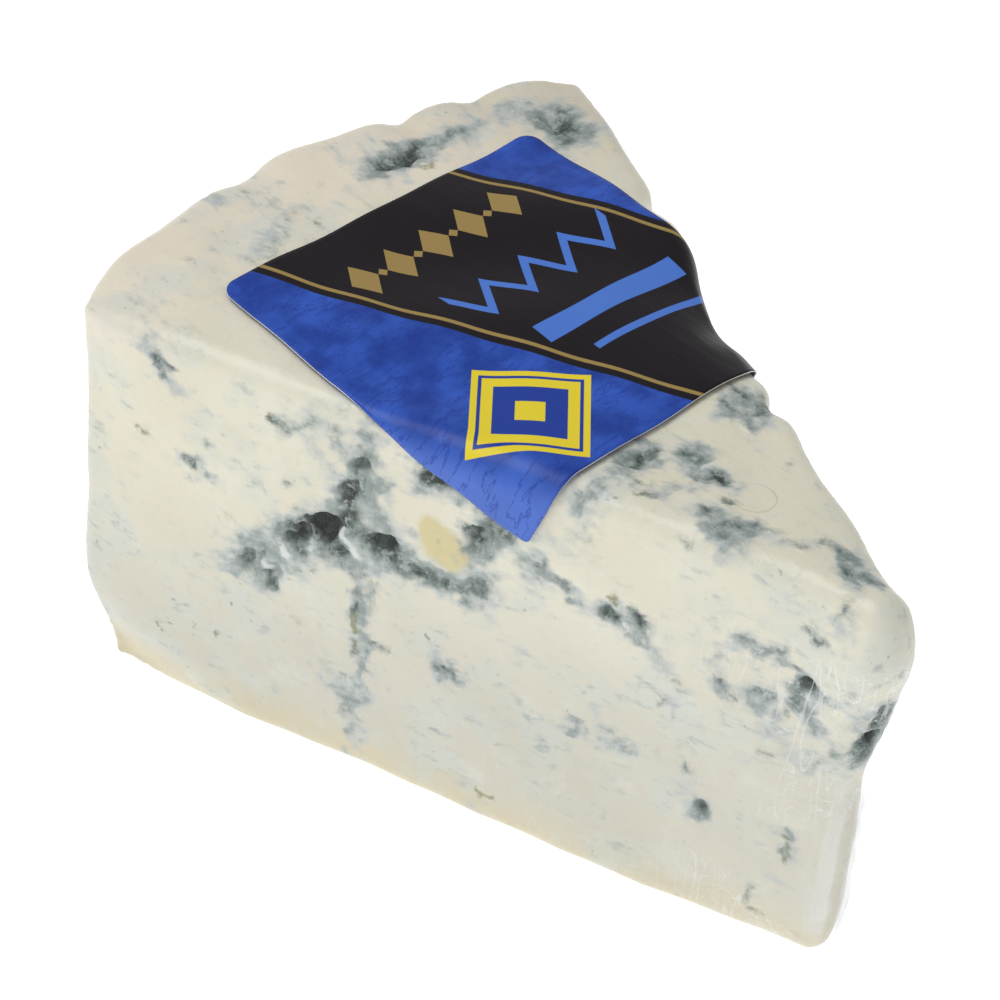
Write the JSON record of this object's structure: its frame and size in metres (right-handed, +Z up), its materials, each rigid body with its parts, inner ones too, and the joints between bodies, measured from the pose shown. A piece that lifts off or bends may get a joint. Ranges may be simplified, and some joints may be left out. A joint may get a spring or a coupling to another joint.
{
  "type": "blue cheese wedge",
  "caption": "Wedge of blue-veined cheese in clear film, with a curved rind side, two cut faces, a blunt tip and a square paper label folded over its top edges.",
  "frame": {"origin": "the middle of the wedge's box, on the flat underside that it rests on", "axes": "+X from the rind to the tip, +Y towards the cut face behind, +Z up"},
  "size_m": [0.1046, 0.0788, 0.0583],
  "materials": {
    "cheese": "moist cream paste with blue-green mould, under clear film",
    "label_paper": "satin printed paper, blue with a dark band"
  },
  "bodies": {
    "root": {"cheese": "cheese", "label": "label_paper"}
  },
  "joints": []
}
